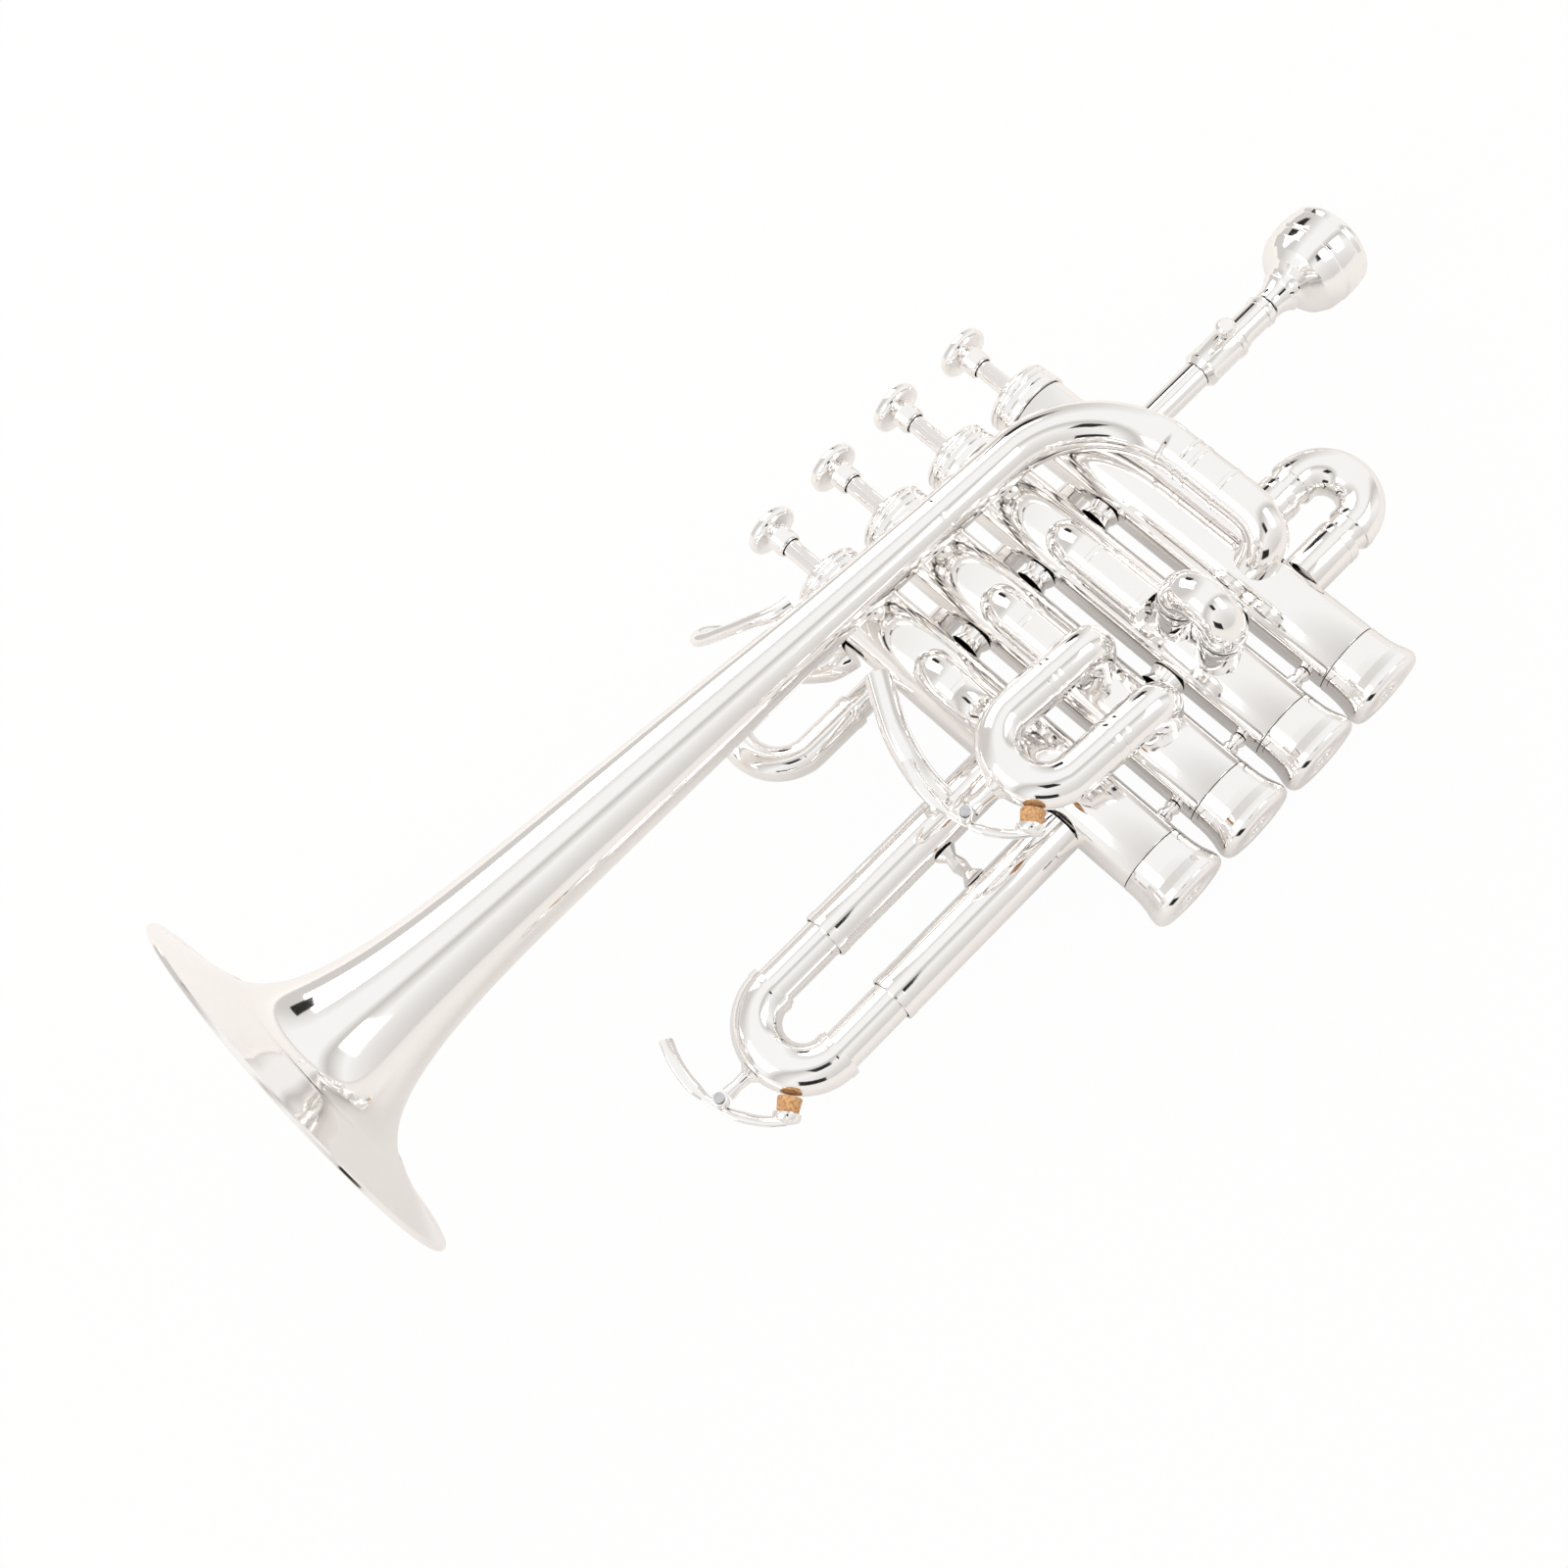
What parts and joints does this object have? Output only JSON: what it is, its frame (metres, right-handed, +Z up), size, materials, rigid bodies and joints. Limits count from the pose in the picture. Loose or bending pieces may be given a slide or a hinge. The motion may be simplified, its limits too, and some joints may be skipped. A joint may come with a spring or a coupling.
{
  "type": "piccolo trumpet",
  "caption": "Silver-plated piccolo trumpet with piston valves, tuning slides, water keys, a straight bell and a removable mouthpiece.",
  "frame": {"origin": "under the middle of the object's bounding box, on the plane of the valve bottom caps that it stands on", "axes": "+X to the mouthpiece, +Z up to the buttons, -Y to the player's left"},
  "size_m": [0.3504, 0.101, 0.1658],
  "materials": {
    "silver_plate": "polished silver plate over brass",
    "spring_steel": "bright drawn wire",
    "cork": "natural cork",
    "felt": "pressed wool felt"
  },
  "bodies": {
    "horn": {"bell": "silver_plate", "bell_tail": "silver_plate", "front_tube_2": "silver_plate", "front_tube_3": "silver_plate", "front_tube_4": "silver_plate", "slide1_upper_sleeve": "silver_plate", "slide1_lower_sleeve": "silver_plate", "slide2_upper_sleeve": "silver_plate", "slide2_lower_sleeve": "silver_plate", "slide3_upper_sleeve": "silver_plate", "slide3_lower_sleeve": "silver_plate", "slide4_upper_sleeve": "silver_plate", "slide4_lower_sleeve": "silver_plate", "slide4_brace": "silver_plate", "leadpipe": "silver_plate", "front_crook": "silver_plate", "receiver": "silver_plate", "finger_hook": "silver_plate", "hand_ring": "silver_plate", "valve1_casing": "silver_plate", "valve1_bottom_cap": "silver_plate", "valve1_top_cap": "silver_plate", "valve1_spring": "spring_steel", "valve2_casing": "silver_plate", "valve2_bottom_cap": "silver_plate", "valve2_top_cap": "silver_plate", "valve2_spring": "spring_steel", "valve3_casing": "silver_plate", "valve3_bottom_cap": "silver_plate", "valve3_top_cap": "silver_plate", "valve3_spring": "spring_steel", "valve4_casing": "silver_plate", "valve4_bottom_cap": "silver_plate", "valve4_top_cap": "silver_plate", "valve4_spring": "spring_steel"},
    "valve_1": {"valve1_piston": "silver_plate", "valve1_button": "silver_plate", "valve1_felt": "felt"},
    "valve_2": {"valve2_piston": "silver_plate", "valve2_button": "silver_plate", "valve2_felt": "felt"},
    "valve_3": {"valve3_piston": "silver_plate", "valve3_button": "silver_plate", "valve3_felt": "felt"},
    "valve_4": {"valve4_piston": "silver_plate", "valve4_button": "silver_plate", "valve4_felt": "felt"},
    "slide_1": {"slide1_bow": "silver_plate"},
    "slide_2": {"slide2_bow": "silver_plate"},
    "slide_3": {"slide3_bow": "silver_plate", "slide3_key_screw": "spring_steel"},
    "slide_4": {"slide4_bow": "silver_plate", "slide4_key_screw": "spring_steel"},
    "key_3": {"slide3_key_lever": "silver_plate", "slide3_key_cork": "cork"},
    "key_4": {"slide4_key_lever": "silver_plate", "slide4_key_cork": "cork"},
    "clamp": {"clamp_screw": "silver_plate"},
    "shank": {"mouthpiece_shank": "silver_plate"},
    "mouthpiece": {"mouthpiece": "silver_plate"}
  },
  "joints": [
    {"name": "valve_1_press", "type": "slide", "parent": "horn", "child": "valve_1", "axis": [0, 0, -1], "range_m": [0, 0.01], "stiffness_N_per_m": 90, "springref_m": -0.02, "deforming": ["valve1_spring"]},
    {"name": "valve_2_press", "type": "slide", "parent": "horn", "child": "valve_2", "axis": [0, 0, -1], "range_m": [0, 0.01], "stiffness_N_per_m": 90, "springref_m": -0.02, "deforming": ["valve2_spring"]},
    {"name": "valve_3_press", "type": "slide", "parent": "horn", "child": "valve_3", "axis": [0, 0, -1], "range_m": [0, 0.01], "stiffness_N_per_m": 90, "springref_m": -0.02, "deforming": ["valve3_spring"]},
    {"name": "valve_4_press", "type": "slide", "parent": "horn", "child": "valve_4", "axis": [0, 0, -1], "range_m": [0, 0.01], "stiffness_N_per_m": 90, "springref_m": -0.02, "deforming": ["valve4_spring"]},
    {"name": "slide_1_pull", "type": "slide", "parent": "horn", "child": "slide_1", "axis": [1, 0, 0], "range_m": [0, 0.008]},
    {"name": "slide_2_pull", "type": "slide", "parent": "horn", "child": "slide_2", "axis": [0, -1, 0], "range_m": [0, 0.006]},
    {"name": "slide_3_pull", "type": "slide", "parent": "horn", "child": "slide_3", "axis": [-0.9978, 0, 0.0659], "range_m": [0, 0.008]},
    {"name": "slide_4_pull", "type": "slide", "parent": "horn", "child": "slide_4", "axis": [-1, 0, 0], "range_m": [-0.016, 0.02]},
    {"name": "key_3_lift", "type": "hinge", "parent": "slide_3", "child": "key_3", "pos_m": [-0.02096, -0.0102, 0.04606], "axis": [0, 1, 0], "range_deg": [0, 10], "stiffness_Nm_per_rad": 0.02, "springref_deg": -34.38},
    {"name": "key_4_lift", "type": "hinge", "parent": "slide_4", "child": "key_4", "pos_m": [-0.10476, 0.0168, 0.04593], "axis": [0, 1, 0], "range_deg": [0, 10], "stiffness_Nm_per_rad": 0.02, "springref_deg": -34.38},
    {"name": "clamp_turn", "type": "hinge", "parent": "horn", "child": "clamp", "pos_m": [0.13167, 0.0305, 0.0975], "axis": [0, -1, 0], "range_deg": [0, 180]},
    {"name": "shank_pull", "type": "slide", "parent": "horn", "child": "shank", "axis": [1, 0, 0], "range_m": [0, 0.008]},
    {"name": "mouthpiece_pull", "type": "slide", "parent": "shank", "child": "mouthpiece", "axis": [1, 0, 0], "range_m": [0, 0.006]}
  ]
}
